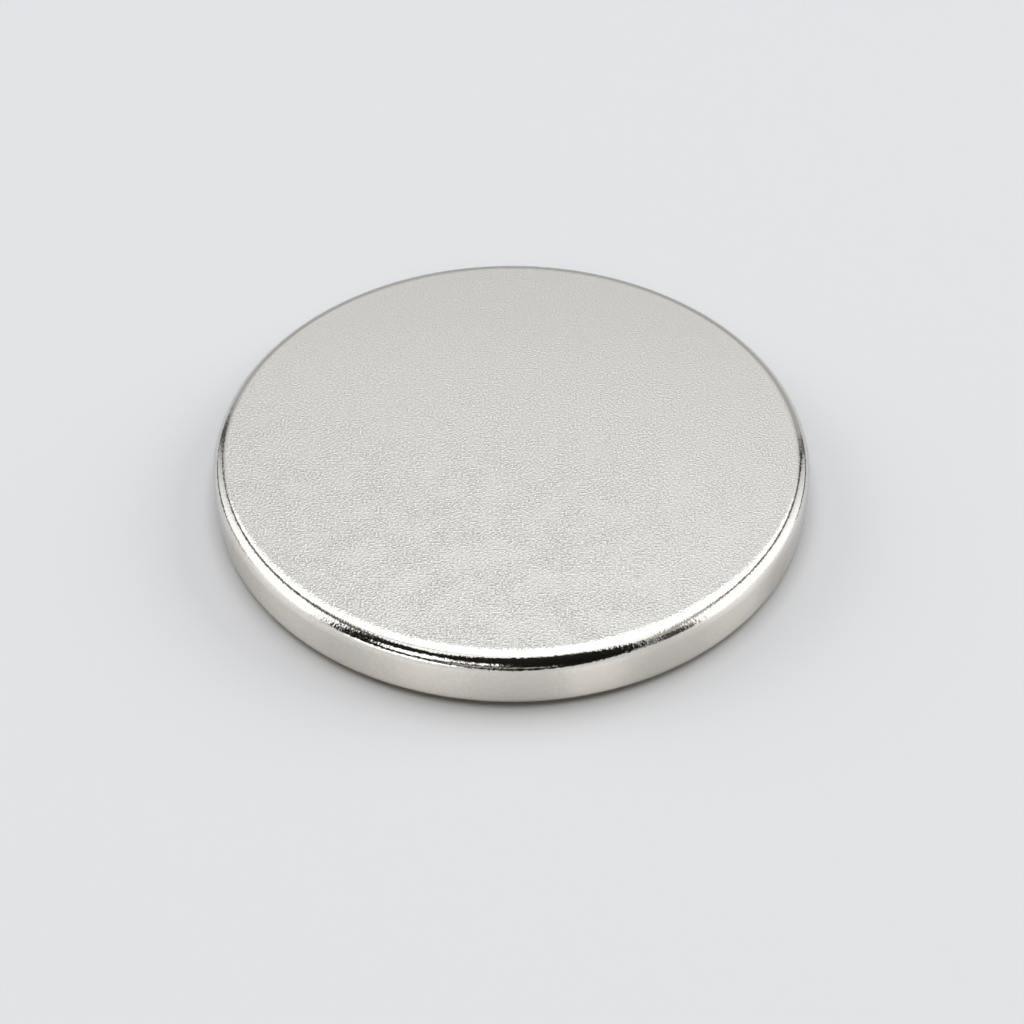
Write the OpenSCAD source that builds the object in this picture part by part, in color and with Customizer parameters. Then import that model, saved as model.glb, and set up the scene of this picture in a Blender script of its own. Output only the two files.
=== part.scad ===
// Disc magnet: one sintered, tumbled and nickel-plated disc, lying on one pole face.
// Origin at the middle of the lower face, +Z up through the disc, millimetres.

/* [Disc] */
// Diameter over the plating
disc_d = 30; // [24:0.5:45]
// Thickness over the plating
disc_h = 3; // [2:0.1:6]

/* [Rims] */
// Radius that tumbling leaves where each flat face turns into the wall
rim_r = 0.75; // [0.2:0.05:0.95]

/* [Quality] */
// Segments in a full turn of the disc
turn_segments = 256; // [96:8:512]
// Segments in a full circle of the rim's own section
rim_segments = 96; // [32:8:192]

/* [Hidden] */

// Radius of the straight wall
wall_r = disc_d / 2;
// Height of the straight wall between the two rims
wall_h = disc_h - 2 * rim_r;
// Radius of each flat pole face, where the rim starts
face_r = wall_r - rim_r;
// Heights of the two arc centres
rim_levels = [rim_r, disc_h - rim_r];

// Half section, to the right of the axis. Each rim is a true quarter circle
// that meets the flat face and the wall without a crease.
module disc_section() {
    square([face_r, disc_h]);
    translate([0, rim_r])
        square([wall_r, wall_h]);
    for (level = rim_levels)
        translate([face_r, level])
            circle(r = rim_r, $fn = rim_segments);
}

module disc_magnet() {
    color([0.78, 0.77, 0.74])
        rotate_extrude($fn = turn_segments)
            disc_section();
}

disc_magnet();
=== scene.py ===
import math

import bpy
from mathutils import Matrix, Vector


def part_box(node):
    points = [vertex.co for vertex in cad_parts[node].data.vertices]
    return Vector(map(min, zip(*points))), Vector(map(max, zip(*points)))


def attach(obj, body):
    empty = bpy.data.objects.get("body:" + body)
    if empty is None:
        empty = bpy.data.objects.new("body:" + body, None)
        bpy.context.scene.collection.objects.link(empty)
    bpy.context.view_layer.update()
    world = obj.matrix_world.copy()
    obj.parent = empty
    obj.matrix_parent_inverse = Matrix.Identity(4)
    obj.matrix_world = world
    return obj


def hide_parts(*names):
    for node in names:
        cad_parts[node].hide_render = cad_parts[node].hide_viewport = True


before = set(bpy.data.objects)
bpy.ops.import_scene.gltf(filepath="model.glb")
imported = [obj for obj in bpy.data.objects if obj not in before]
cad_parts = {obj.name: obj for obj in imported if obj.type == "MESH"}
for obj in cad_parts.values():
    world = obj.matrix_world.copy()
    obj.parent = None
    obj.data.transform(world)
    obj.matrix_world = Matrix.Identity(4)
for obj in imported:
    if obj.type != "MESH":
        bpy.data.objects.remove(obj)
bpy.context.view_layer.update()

# ---------------------------------------------------------------- sizes, in metres
disc_low, disc_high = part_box("disc_magnet")
wall_r = (disc_high.x - disc_low.x) / 2
disc_h = disc_high.z - disc_low.z
# Tumbling rounds each rim by a quarter of the thickness
rim_r = disc_h / 4
face_r = wall_r - rim_r
disc_middle = Vector((0, 0, disc_h / 2))

# Facets round the disc and across each rim
turn_steps = 480
rim_steps = 24
# Rings that hold the flat face true beside the rim, and divide the rest of it
hold_width = rim_r / 16
face_rings = 10

# ---------------------------------------------------------------- the plating's finish
# Cells of the face's grain and its patches, the rims' ripples, the wall's bands and its mottling
grain_cell = 0.0001
patch_cell = 0.0015
ripple_cell = 0.00022
band_cell = 0.003
mottle_cell = 0.00018
# The stretch of the patch noise that goes from the weakest patches to the strongest
patch_range = (0.3, 0.7)
# Soft bands round the wall
wall_bands = 12

# Depth of the relief, and the shares of it that the rims and the wall take up
relief_depth = 0.00003
rim_ripple = 0.2
rim_grain = 0.15
wall_ripple = 0.1

# Tones of the face's grain: painted shade in its pits and painted glints on its crests
shaded_pit_tone = (0.563, 0.557, 0.538)
glint_crest_tone = (0.912, 0.903, 0.871)
polish_tone = (0.70, 0.69, 0.66)
# Tones of the wall's bands, painted reflection: the dark one near nickel's own, the pale one brighter
wall_dim_reflection_tone = (0.695, 0.656, 0.6)
wall_bright_reflection_tone = (0.915, 0.864, 0.79)
wall_side_tone = (0.70, 0.70, 0.695)
face_rough_range = (0.37, 0.39)
wall_rough_range = (0.34, 0.28)
polish_rough = 0.1
# Power that narrows the painted glints on the crests
glint_power = 2.5
# Nickel mirrors less than silver does at a glancing angle
glancing_tint = (0.82, 0.82, 0.82, 1)

# ---------------------------------------------------------------- the studio's light and camera
black = (0, 0, 0)
white = (1, 1, 1)
pale_paper = (0.765, 0.775, 0.79)
white_light = (0.99, 0.995, 1.0)
cream_light = (0.985, 0.985, 0.915)
warm_light = (1.0, 0.87, 0.74)
cool_light = (0.8, 0.82, 1.0)

floor_r = 1.5
# The paper starts to turn into the pale air here, and has turned wholly there
air_start = 4 * wall_r
air_end = 10 * wall_r
# Strength of the air's light on all that doesn't mirror it
air_fill = 0.01

lamp_distance = 0.6
wide_lamp = 0.485
narrow_lamp = 0.255

camera_elevation = math.radians(42.89)
camera_distance = 6 * wall_r
camera_aim = disc_middle + wall_r * Vector((0.0015, -0.2483, 0))
camera_lens = 62.05


# ---------------------------------------------------------------- small helpers
def deselect_all():
    for thing in bpy.context.selected_objects:
        thing.select_set(False)


def select_mode(edges):
    bpy.context.tool_settings.mesh_select_mode = (False, edges, not edges)


def toward(right, back):
    """The direction that leans this many degrees off straight up, to the right and to the back."""
    lean = math.radians(math.hypot(right, back))
    level = Vector((right, back, 0)).normalized()
    return level * math.sin(lean) + Vector((0, 0, math.cos(lean)))


class Wiring:
    """Adds nodes to one material or world and joins their sockets."""

    def __init__(self, owner):
        self.owner = owner
        owner.use_nodes = True
        self.nodes = owner.node_tree.nodes
        self.links = owner.node_tree.links

    def feed(self, socket, value):
        if isinstance(value, bpy.types.NodeSocket):
            self.links.new(value, socket)
        elif socket.type == "RGBA":
            socket.default_value = (*value, 1)
        elif socket.type == "VECTOR" and not hasattr(value, "__len__"):
            socket.default_value = (value, value, value)
        else:
            socket.default_value = value

    def node(self, kind, inputs, **settings):
        made = self.nodes.new(kind)
        for name, value in settings.items():
            setattr(made, name, value)
        for name, value in inputs.items():
            self.feed(made.inputs[name], value)
        return made

    def place(self):
        """Where a point is on its object, in metres."""
        return self.node("ShaderNodeTexCoord", {}).outputs["Object"]

    def split(self, vector):
        """The vector's parts to the right, to the back and up."""
        parts = self.node("ShaderNodeSeparateXYZ", {"Vector": vector}).outputs
        return parts["X"], parts["Y"], parts["Z"]

    def length(self, vector):
        return self.node("ShaderNodeVectorMath", {0: vector}, operation="LENGTH").outputs["Value"]

    def maths(self, operation, first, second=0.0):
        inputs = {0: first, 1: second}
        return self.node("ShaderNodeMath", inputs, operation=operation).outputs["Value"]

    def ramp(self, value, start, end, low=0.0, high=1.0, soft=True):
        """Goes from low at the start to high at the end, and stays level outside them."""
        made = self.node(
            "ShaderNodeMapRange",
            {"Value": value, "From Min": start, "From Max": end, "To Min": low, "To Max": high},
            interpolation_type="SMOOTHSTEP" if soft else "LINEAR",
        )
        return made.outputs["Result"]

    def between(self, mask, under, over):
        """The first number where the mask is 0, the second where it is 1."""
        return self.ramp(mask, 0.0, 1.0, under, over, soft=False)

    def noise(self, place, cell, detail):
        inputs = {"Vector": place, "Scale": 1 / cell, "Detail": detail}
        return self.node("ShaderNodeTexNoise", inputs).outputs["Fac"]

    def blend(self, mask, under, over):
        """The first colour where the mask is 0, the second where it is 1."""
        inputs = {0: mask, 6: under, 7: over}
        return self.node("ShaderNodeMix", inputs, data_type="RGBA").outputs[2]


# ---------------------------------------------------------------- the disc
def build_plated_disc():
    deselect_all()
    bpy.ops.mesh.primitive_cylinder_add(
        vertices=turn_steps, radius=wall_r, depth=disc_h, location=disc_middle, end_fill_type="NGON"
    )
    disc = bpy.context.object
    disc.name = "plated_disc"
    bpy.ops.object.transform_apply(location=True, rotation=True, scale=True)

    # Round both rims
    select_mode(edges=True)
    bpy.ops.object.mode_set(mode="EDIT")
    bpy.ops.mesh.select_all(action="DESELECT")
    bpy.ops.object.mode_set(mode="OBJECT")
    for edge in disc.data.edges:
        low, high = sorted(disc.data.vertices[i].co.z for i in edge.vertices)
        edge.select = high - low < disc_h / 2
    bpy.ops.object.mode_set(mode="EDIT")
    bpy.ops.mesh.bevel(offset=rim_r, segments=rim_steps, profile=0.5, affect="EDGES")
    bpy.ops.mesh.select_all(action="DESELECT")
    bpy.ops.object.mode_set(mode="OBJECT")

    # Rings on both flat faces, the first close to the rim
    select_mode(edges=False)
    for face in disc.data.polygons:
        face.select = len(face.vertices) > 4
    bpy.ops.object.mode_set(mode="EDIT")
    bpy.ops.mesh.inset(thickness=hold_width)
    for _ in range(face_rings):
        bpy.ops.mesh.inset(thickness=face_r / (face_rings + 1))
    bpy.ops.object.mode_set(mode="OBJECT")
    bpy.ops.object.shade_smooth()
    deselect_all()
    return disc


def face_grain(w, place, across, along, patches):
    """Pits and crests of the tumbled blank, plated over, as relief and as painted shade and glints;
    fainter at back and right.
    """
    # The grain, its relief and its painted shade and glints grow fainter toward the back and the right
    back_fade = w.ramp(along, -0.3 * wall_r, 0.7 * wall_r, 1.0, 0.33)
    right_fade = w.ramp(across, 0.2 * wall_r, 0.8 * wall_r, 1.0, 0.66)
    grain_fade = w.maths("MULTIPLY", back_fade, right_fade)
    strength = w.maths("MULTIPLY", grain_fade, w.ramp(patches, *patch_range, 0.8, 1.35))
    raised = w.maths("SUBTRACT", w.noise(place, grain_cell, 0.0), 0.5)
    return w.maths("ADD", w.maths("MULTIPLY", raised, strength), 0.5)


def past_polish_start(w, radius, along):
    """How far out a point is from where the polish starts.

    It starts furthest in at the front, and furthest out at the sides.
    """
    back_start = w.ramp(along, 0.3 * wall_r, 0.9 * wall_r, 0.958 * wall_r, 0.941 * wall_r)
    start = w.ramp(along, -0.95 * wall_r, 0, 0.929 * wall_r, back_start)
    return w.maths("SUBTRACT", radius, start)


def soft_bands(w, place, level, across, along):
    """Soft upright bands and fine mottling round the wall, for its roughness and painted reflection.
    """
    turn = w.maths("ARCTAN2", along, across)
    wave = w.maths("COSINE", w.maths("ADD", w.maths("MULTIPLY", turn, wall_bands), math.pi))
    uneven = w.between(w.noise(level, band_cell, 1.0), 0.12, 0.88)
    bands = w.maths("ADD", w.maths("MULTIPLY", wave, 0.24), uneven)
    mottling = w.between(w.noise(place, mottle_cell, 2.0), -0.2, 0.2)
    return w.ramp(w.maths("ADD", bands, mottling), 0.15, 0.85)


def nickel_plating():
    """Bright nickel over the tumbled blank: grainy flat faces, polished rims, satin wall."""
    w = Wiring(bpy.data.materials.new("plated_nickel"))
    shader = w.nodes["Principled BSDF"]
    place = w.place()
    across, along, up = w.split(place)
    level = w.node("ShaderNodeCombineXYZ", {"X": across, "Y": along}).outputs["Vector"]
    radius = w.length(level)
    off_middle = w.maths("ABSOLUTE", w.maths("SUBTRACT", up, disc_h / 2))
    aside = w.maths("ABSOLUTE", across)

    # Flat faces: painted shade in the pits and painted glints on the crests, stronger in some patches
    # than in others
    patches = w.noise(place, patch_cell, 2.0)
    grain = face_grain(w, place, across, along, patches)
    glint_mask = w.maths("POWER", w.ramp(grain, 0.2, 0.8, soft=False), glint_power)
    face_tone = w.blend(glint_mask, shaded_pit_tone, glint_crest_tone)
    face_rough = w.ramp(patches, *patch_range, *face_rough_range)

    # Polish of the rims, which takes the crests first
    raised = w.maths("SUBTRACT", grain, 0.5)
    past_start = past_polish_start(w, radius, along)
    crests_first = w.maths("ADD", past_start, w.maths("MULTIPLY", raised, 0.014 * wall_r))
    polished = w.ramp(crests_first, -0.001 * wall_r, 0.008 * wall_r)

    # Satin of the wall, which reaches further up and down the rims at the left and right
    bands = soft_bands(w, place, level, across, along)
    # Pale and dark bands of painted reflection in the wall's colour, the pale tone brighter than
    # nickel
    wall_tone = w.blend(bands, wall_dim_reflection_tone, wall_bright_reflection_tone)
    far_aside = w.ramp(aside, 0.85 * wall_r, 0.97 * wall_r)
    wall_tone = w.blend(far_aside, wall_tone, wall_side_tone)
    wall_rough = w.between(bands, *wall_rough_range)
    satin_start = w.ramp(aside, 0.25 * wall_r, 0.6 * wall_r, 0.375 * disc_h, 0.42 * disc_h)
    walled = w.ramp(w.maths("SUBTRACT", satin_start, off_middle), 0, 0.065 * disc_h)

    edge_tone = w.blend(polished, face_tone, polish_tone)
    edge_rough = w.between(polished, face_rough, polish_rough)
    w.feed(shader.inputs["Base Color"], w.blend(walled, edge_tone, wall_tone))
    w.feed(shader.inputs["Roughness"], w.between(walled, edge_rough, wall_rough))
    shader.inputs["Metallic"].default_value = 1.0
    shader.inputs["Specular Tint"].default_value = glancing_tint

    # Relief: the grain fades out where the polish starts, the rims ripple and the wall less
    ripples = w.noise(place, ripple_cell, 3.0)
    grainy = w.ramp(past_start, 0.01 * wall_r, -0.003 * wall_r)
    rim_height = w.maths(
        "ADD", w.between(rim_ripple, 0.5, ripples), w.maths("MULTIPLY", raised, rim_grain)
    )
    height = w.between(polished, w.between(grainy, 0.5, grain), rim_height)
    height = w.between(walled, height, w.between(wall_ripple, 0.5, ripples))
    relief = w.node("ShaderNodeBump", {"Height": height, "Distance": relief_depth, "Strength": 1.0})
    w.feed(shader.inputs["Normal"], relief.outputs["Normal"])
    return w.owner


plated_disc = build_plated_disc()
plated_disc.data.materials.append(nickel_plating())
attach(plated_disc, "root")
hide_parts("disc_magnet")


# ---------------------------------------------------------------- the studio
def build_floor():
    """Pale paper, which turns into the pale air out of the lamps' reach."""
    bpy.ops.mesh.primitive_circle_add(vertices=96, radius=floor_r, fill_type="NGON")
    floor = bpy.context.object
    floor.name = "floor"
    w = Wiring(bpy.data.materials.new("pale_paper"))
    shader = w.nodes["Principled BSDF"]
    far = w.ramp(w.length(w.place()), air_start, air_end)
    w.feed(shader.inputs["Base Color"], w.blend(far, pale_paper, black))
    w.feed(shader.inputs["Emission Color"], w.blend(far, black, pale_paper))
    shader.inputs["Emission Strength"].default_value = 1.0
    shader.inputs["Roughness"].default_value = 0.9
    shader.inputs["Specular IOR Level"].default_value = 0.1
    floor.data.materials.append(w.owner)
    deselect_all()


def glow_material(name, colour, level):
    """A light-giving surface for the cards; its level is a number or a function that wires one."""
    w = Wiring(bpy.data.materials.new(name))
    w.nodes.clear()
    strength = level(w) if callable(level) else level
    glow = w.node("ShaderNodeEmission", {"Color": colour, "Strength": strength})
    w.node("ShaderNodeOutputMaterial", {"Surface": glow.outputs["Emission"]})
    return w.owner


def roof_level(w):
    """The roof softbox, from its front to its back.

    It is softer overhead and at its front, and full from there toward the back. Then it falls
    quickly to a shoulder, and slowly to the level of the back wall.
    """
    _, along, up = w.split(w.place())
    lean = w.maths("ARCTAN2", along, up)
    edge_start, edge_end, fall_end = (math.radians(angle) for angle in (42.5, 46, 63))
    edge = w.ramp(lean, edge_start, edge_end, 1.72, 0.88)
    fall = w.ramp(lean, edge_end, fall_end, 1.0, 0.59, soft=False)
    front = w.ramp(lean, math.radians(6), math.radians(24), 0.8, 1.0)
    return w.maths("MULTIPLY", w.maths("MULTIPLY", edge, fall), front)


def side_level(w):
    """A side softbox: full beside the disc, and fading toward the back."""
    way = w.node("ShaderNodeVectorMath", {0: w.place()}, operation="NORMALIZE").outputs["Vector"]
    _, along, _ = w.split(way)
    start, end = (math.sin(math.radians(angle)) for angle in (24, 46))
    return w.ramp(along, start, end, 1.46, 0.52, soft=False)


def card_glows():
    """The cards' surfaces, each under a short name."""
    return {
        "roof": glow_material("roof_glow", white, roof_level),
        "side": glow_material("side_glow", white, side_level),
        "strip": glow_material("white_strip", white, 2.0),
        "pale": glow_material("pale_glow", (1.0, 0.985, 0.96), 1.05),
        "dull": glow_material("dull_glow", (0.86, 0.84, 0.8), 1.0),
        "half": glow_material("half_lit_gear", (0.5, 0.475, 0.43), 1.0),
        "grey": glow_material("grey_wall", (0.53, 0.52, 0.495), 1.0),
        "dim": glow_material("dim_gear", (0.48, 0.435, 0.37), 1.0),
        "faint_seam": glow_material("faint_seam", (0.13, 0.12, 0.105), 1.0),
        "dark_gear": glow_material("dark_gear", (0.075, 0.068, 0.057), 1.0),
        "seam": glow_material("dark_seam", (0.088, 0.083, 0.074), 1.0),
        "opening": glow_material("black_opening", (0.009, 0.0085, 0.0055), 1.0),
    }


def studio_card(name, glow, distance, corners):
    """A flat card that faces the disc, with each corner in a direction that toward() takes.

    The distance is in metres. Only mirror images show the card, and it hides those behind it.
    """
    ways = [toward(right, back) for right, back in corners]
    middle = sum(ways, Vector()).normalized()
    points = [disc_middle + way * distance / way.dot(middle) for way in ways]
    mesh = bpy.data.meshes.new(name)
    mesh.from_pydata(points, [], [list(range(len(points)))])
    mesh.materials.append(glow)
    card = bpy.data.objects.new(name, mesh)
    bpy.context.scene.collection.objects.link(card)
    card.visible_camera = False
    card.visible_diffuse = False
    card.visible_shadow = False
    card.visible_transmission = False


def overhead_cards(glow):
    studio_card("roof_softbox", glow["roof"], 1.0, [
        (-8, 60), (8, 60), (25, 46), (24, 20), (27, -20), (-18, -20), (-18.5, 20), (-26, 46),
    ])
    studio_card("roof_gap", glow["dull"], 1.5, [(-42, 46), (42, 46), (42, -12), (-42, -12)])
    studio_card("back_wall", glow["grey"], 1.1, [
        (-38, 43), (38, 43), (66, 60), (62, 64), (0, 89), (-62, 64),
    ])
    studio_card("roof_haze", glow["dull"], 0.9, [
        (-19, 24), (-14, 22), (-3, 17), (-3, 11), (-13, 12), (-19, 14),
    ])


def left_cards(glow):
    studio_card("left_gap", glow["faint_seam"], 1.3, [
        (-38, 44), (-28, 44), (-20.5, 20), (-18.5, -6), (-27, -6), (-31.5, 20),
    ])
    studio_card("left_gap_back", glow["seam"], 1.2, [(-41, 47), (-32, 47), (-29, 36), (-36, 36)])
    studio_card("left_back_seam", glow["seam"], 0.9, [
        (-31, 50), (-36, 55.5), (-42, 60), (-49, 64), (-57, 68), (-64, 69.5), (-71, 61), (-68, 54),
        (-65, 57), (-60, 60.5), (-54, 57), (-48, 53), (-41.5, 49.5), (-37, 46), (-32, 45),
    ])
    studio_card("left_softbox", glow["side"], 1.0, [
        (-35, 40), (-68, 40), (-73, 20), (-76, 0), (-75, -28), (-58, -26), (-30, -4), (-31.5, 20),
    ])
    studio_card("left_softbox_back", glow["side"], 1.15, [(-34, 38), (-39, 48), (-62, 64), (-78, 38)])
    studio_card("left_edge_back", glow["seam"], 0.88, [
        (-60, 63), (-67, 62), (-80, 34), (-72, 34), (-64, 54),
    ])
    studio_card("left_edge", glow["half"], 0.89, [(-68, 42), (-79, 36), (-84, 8), (-79, 8), (-73, 22)])
    studio_card("left_horizon", glow["pale"], 1.6, [
        (-60, 60), (-66, 62), (-88, 20), (-90, 0), (-86, -24), (-74, -30), (-60, -28),
    ])


def right_cards(glow):
    studio_card("right_gap", glow["faint_seam"], 1.3, [
        (28, 45), (35.5, 45), (33.5, 20), (33, 8), (30, 8), (26.5, 20),
    ])
    studio_card("right_gap_back", glow["seam"], 1.2, [(29, 47), (40, 47), (36, 38), (29, 38)])
    studio_card("right_back_seam", glow["opening"], 0.9, [
        (28, 48), (34, 49.5), (40, 50.5), (46, 53), (52, 57.5), (58, 62.5), (62, 65.5), (66, 62),
        (61, 57.5), (54, 53), (47.5, 49), (42.5, 46), (39, 43), (29, 43),
    ])
    studio_card("right_softbox", glow["side"], 1.0, [
        (35.5, 40), (74, 40), (79, 20), (80, 0), (79, -30), (71, -36.5), (61, -29), (52, -21.5),
        (40, -12), (36, 5), (34.5, 22),
    ])
    studio_card("right_softbox_back", glow["side"], 1.15, [(36, 38), (37, 48), (60, 65), (80, 38)])
    studio_card("right_edge_back", glow["seam"], 0.88, [
        (58, 66), (67, 63), (80, 34), (74, 34), (62, 56),
    ])
    studio_card("right_horizon", glow["pale"], 1.6, [
        (60, 60), (66, 62), (88, 20), (90, 0), (82, -36), (70, -50), (60, -30),
    ])


def front_cards(glow):
    """The dark opening at the front, with the gear at its sides and the bright windows in it."""
    studio_card("front_opening", glow["opening"], 0.6, [
        (-21, 0), (-16, -4), (-12, -8), (-8, -3), (-6, 1), (-2, 4), (4, 5), (10, 2.5), (15, -2.5),
        (20, -8), (27, -15), (32, -21.5), (37, -28), (45, -38.5), (51.5, -48), (50, -54), (44, -60),
        (38, -67), (25, -77), (13, -85), (0, -88), (-13, -81), (-23, -73), (-35, -63), (-47, -55),
        (-57, -45), (-66, -37), (-60, -31), (-45, -19), (-30, -6),
    ])
    studio_card("front_side_gear", glow["dark_gear"], 0.62, [
        (36, -20), (46, -22), (56, -29), (66, -37), (68, -40), (62, -45), (57, -51), (51, -50),
        (43, -37), (36, -27),
    ])
    studio_card("front_side_cable", glow["opening"], 0.61, [
        (43, -20.5), (46, -20.5), (55, -27.5), (66, -37), (67, -41), (63, -41), (53, -31),
    ])
    studio_card("front_side_slit", glow["dull"], 0.55, [
        (26, -11), (27.5, -11), (35.5, -25), (45, -36.5), (52.5, -47.5), (51, -49), (43.5, -38.5),
        (34, -26.5),
    ])
    studio_card("front_low_slit", glow["dull"], 0.55, [(41.5, -46), (43, -46), (50, -57), (48.5, -58)])
    studio_card("front_side_gap", glow["half"], 0.66, [
        (27, 8), (33, 8), (38, -10), (47, -18.5), (60, -27.5), (72, -36), (62, -37), (46, -24),
        (36, -22), (29, -15),
    ])
    studio_card("front_window_left", glow["strip"], 0.45, [
        (-40, -36), (-33, -27), (-18, -33), (-16, -49), (-30, -51), (-40, -44),
    ])
    studio_card("front_window_right", glow["strip"], 0.45, [
        (-14, -40), (-5, -43), (-4, -54), (-12, -52),
    ])
    studio_card("front_low_light", glow["strip"], 0.5, [
        (-66, -42), (-57, -46), (-47, -56), (-35, -64), (-23, -73), (-20, -80), (-35, -78),
        (-50, -68), (-62, -58),
    ])
    studio_card("front_gear_left", glow["dim"], 0.5, [(-27, -54), (-4, -60), (-4, -69), (-20, -67)])
    studio_card("front_gear_top", glow["dim"], 0.5, [(-4, -65), (16, -64), (17, -69.5), (-4, -70.5)])


def build_cards():
    """What the bright rims mirror, all round the disc."""
    glow = card_glows()
    overhead_cards(glow)
    left_cards(glow)
    right_cards(glow)
    front_cards(glow)


def build_world():
    """Pale air: the camera and mirror images show it in full, and it hardly lights the rest."""
    w = Wiring(bpy.data.worlds.new("studio_air"))
    bpy.context.scene.world = w.owner
    ray = w.node("ShaderNodeLightPath", {})
    seen = w.maths("MAXIMUM", ray.outputs["Is Camera Ray"], ray.outputs["Is Glossy Ray"])
    background = w.nodes["Background"]
    w.feed(background.inputs["Color"], w.blend(seen, white_light, pale_paper))
    w.feed(background.inputs["Strength"], w.between(seen, air_fill, 1.0))


def studio_lamp(name, way, width, watts, colour):
    """A soft round lamp for the floor; the metal shows the cards in its place."""
    lamp = bpy.data.lights.new(name, "AREA")
    lamp.shape = "DISK"
    lamp.size = width
    lamp.energy = watts
    lamp.color = colour
    light = bpy.data.objects.new(name, lamp)
    bpy.context.scene.collection.objects.link(light)
    light.location = disc_middle + way * lamp_distance
    light.rotation_mode = "QUATERNION"
    light.rotation_quaternion = way.to_track_quat("Z", "Y")
    light.visible_glossy = False
    light.visible_camera = False


def build_lamps():
    studio_lamp("overhead_front_lamp", toward(0, -8), wide_lamp, 1.72, cream_light)
    studio_lamp("overhead_back_lamp", toward(0, 16), wide_lamp, 0.985, cool_light)
    studio_lamp("left_lamp", toward(-54.5, 20), wide_lamp, 1.13, white_light)
    studio_lamp("right_lamp", toward(54.5, 20), wide_lamp, 1.39, white_light)
    studio_lamp("front_lamp", toward(0, -52), narrow_lamp, 0.5, warm_light)


def build_camera():
    camera = bpy.data.objects.new("camera", bpy.data.cameras.new("camera"))
    bpy.context.scene.collection.objects.link(camera)
    from_disc = Vector((0, -math.cos(camera_elevation), math.sin(camera_elevation)))
    camera.location = disc_middle + camera_distance * from_disc
    camera.rotation_mode = "QUATERNION"
    camera.rotation_quaternion = (camera_aim - camera.location).to_track_quat("-Z", "Y")
    camera.data.sensor_width = 36
    camera.data.lens = camera_lens
    camera.data.clip_start = 0.001
    camera.data.clip_end = 10
    bpy.context.scene.camera = camera


build_floor()
build_cards()
build_world()
build_lamps()
build_camera()
bpy.context.scene.view_settings.view_transform = "Standard"
# The light that the metal would throw on the floor is left out. Real metal throws it, but here
# it washes out the dark line where the disc meets the floor.
bpy.context.scene.cycles.caustics_reflective = False
